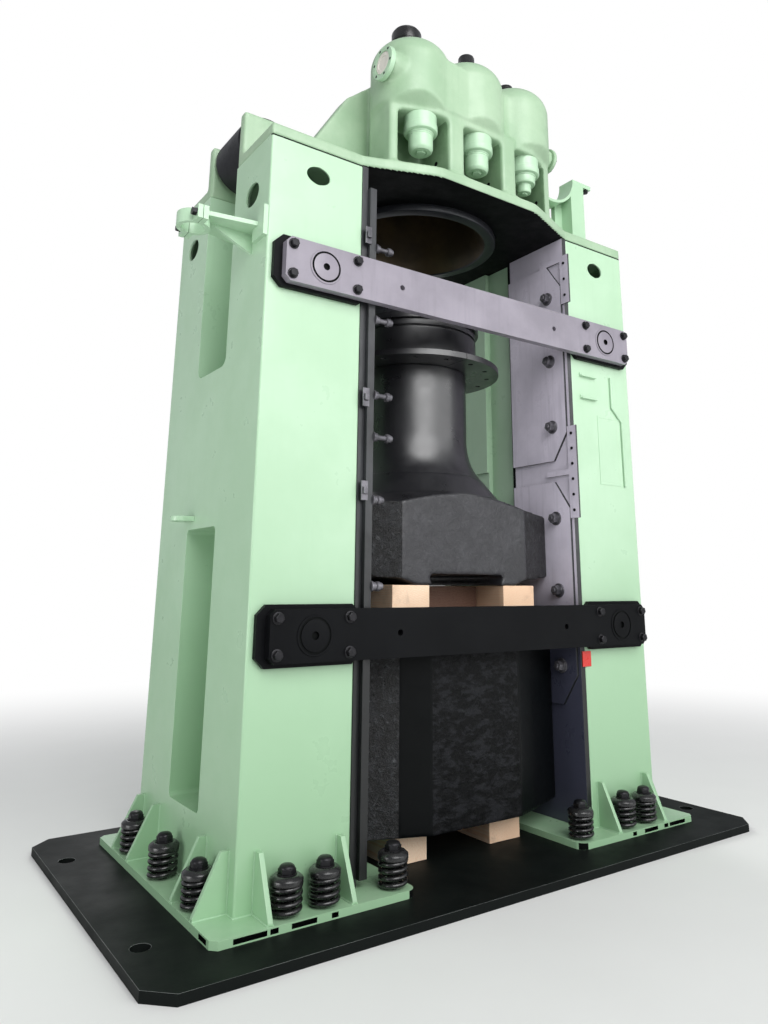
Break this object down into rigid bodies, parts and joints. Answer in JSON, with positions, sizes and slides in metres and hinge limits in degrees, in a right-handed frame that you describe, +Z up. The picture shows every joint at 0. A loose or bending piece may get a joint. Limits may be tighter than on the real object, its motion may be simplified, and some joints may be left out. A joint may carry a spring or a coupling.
{
  "type": "counterblow forging hammer",
  "caption": "Counterblow forging hammer: two box columns under a cast crown with valve chest, opposed rams between guides, tie bars, and sprung feet on a base plate.",
  "frame": {"origin": "middle of the base plate's underside", "axes": "+X across the two columns to the right, +Y from the front to the rear, +Z up"},
  "size_m": [4.04, 2.29, 5.309],
  "materials": {
    "green_paint": "gloss light green machine enamel",
    "black_paint": "satin black paint",
    "black_plate_paint": "semi-gloss black paint",
    "violet_grey_paint": "satin violet-grey primer",
    "liner_iron": "oiled dark iron",
    "ram_black": "black painted forging",
    "ring_iron": "machined grey iron",
    "roller_iron": "dark turned iron",
    "machined_steel": "turned steel",
    "dark_steel": "blackened steel",
    "spring_steel": "black lacquered spring steel",
    "cap_steel": "black lacquered steel",
    "packing_rubber": "black packing",
    "sawn_wood": "sawn softwood"
  },
  "bodies": {
    "base": {"base_plate": "black_plate_paint", "lower_timbers": "sawn_wood", "right_foot_springs": "spring_steel", "right_spring_caps": "cap_steel", "right_foot_nuts": "dark_steel", "right_foot_bolts": "dark_steel", "left_foot_springs": "spring_steel", "left_spring_caps": "cap_steel", "left_foot_nuts": "dark_steel", "left_foot_bolts": "dark_steel"},
    "anvil": {"lower_ram": "ram_black", "upper_timbers": "sawn_wood", "spreader_plank": "sawn_wood"},
    "ram": {"upper_ram": "ram_black", "piston": "ram_black", "piston_rings": "ring_iron", "piston_plate": "machined_steel", "gland": "ram_black", "gland_packing": "packing_rubber", "right_gland_half": "ram_black", "left_gland_half": "ram_black"},
    "left_spool": {"left_spool": "machined_steel"},
    "middle_spool": {"middle_spool": "machined_steel"},
    "right_spool": {"right_spool": "machined_steel"},
    "left_roller": {"left_roller": "roller_iron"},
    "right_roller": {"right_roller": "roller_iron"},
    "frame": {"right_foot": "green_paint", "left_foot": "green_paint", "gussets": "green_paint", "right_column": "green_paint", "left_column": "green_paint", "crown": "green_paint", "cylinder_liner": "liner_iron", "cylinder_head": "green_paint", "head_bolts": "green_paint", "valve_bonnets": "green_paint", "inlet_cap": "black_paint", "lobe_caps": "green_paint", "inlet_flange": "green_paint", "outlet_cover": "green_paint", "cradle": "green_paint", "roller_axles": "machined_steel", "right_guides": "violet_grey_paint", "left_guides": "violet_grey_paint", "right_wear_plates": "violet_grey_paint", "left_wear_plates": "violet_grey_paint", "right_guide_bolts": "dark_steel", "left_guide_bolts": "dark_steel", "guide_rails": "violet_grey_paint", "upper_tie_bar": "violet_grey_paint", "lower_tie_bar": "black_paint", "tie_pads": "black_paint", "tie_pins": "dark_steel", "tie_bolts": "dark_steel", "pipe_clamp": "green_paint", "pipe_clamp_cap": "green_paint", "bracket_bolts": "dark_steel", "lifting_eyes": "green_paint", "column_fittings": "green_paint"}
  },
  "joints": [
    {"name": "frame_float", "type": "slide", "parent": "base", "child": "frame", "axis": [0, 0, 1], "range_m": [0, 0.008], "deforming": ["right_foot_springs", "left_foot_springs"]},
    {"name": "anvil_lift", "type": "slide", "parent": "base", "child": "anvil", "axis": [0, 0, 1], "range_m": [0, 0.45]},
    {"name": "ram_slide", "type": "slide", "parent": "anvil", "child": "ram", "axis": [0, 0, 1], "range_m": [0, 0.5]},
    {"name": "left_spool_slide", "type": "slide", "parent": "frame", "child": "left_spool", "axis": [0, 0, 1], "range_m": [-0.055, 0.055]},
    {"name": "middle_spool_slide", "type": "slide", "parent": "frame", "child": "middle_spool", "axis": [0, 0, 1], "range_m": [-0.055, 0.055]},
    {"name": "right_spool_slide", "type": "slide", "parent": "frame", "child": "right_spool", "axis": [0, 0, 1], "range_m": [-0.055, 0.055]},
    {"name": "left_roller_turn", "type": "hinge", "parent": "frame", "child": "left_roller", "pos_m": [-1.3, 0, 4.331], "axis": [0, 1, 0], "continuous": true},
    {"name": "right_roller_turn", "type": "hinge", "parent": "frame", "child": "right_roller", "pos_m": [1.3, 0, 4.331], "axis": [0, 1, 0], "continuous": true}
  ]
}
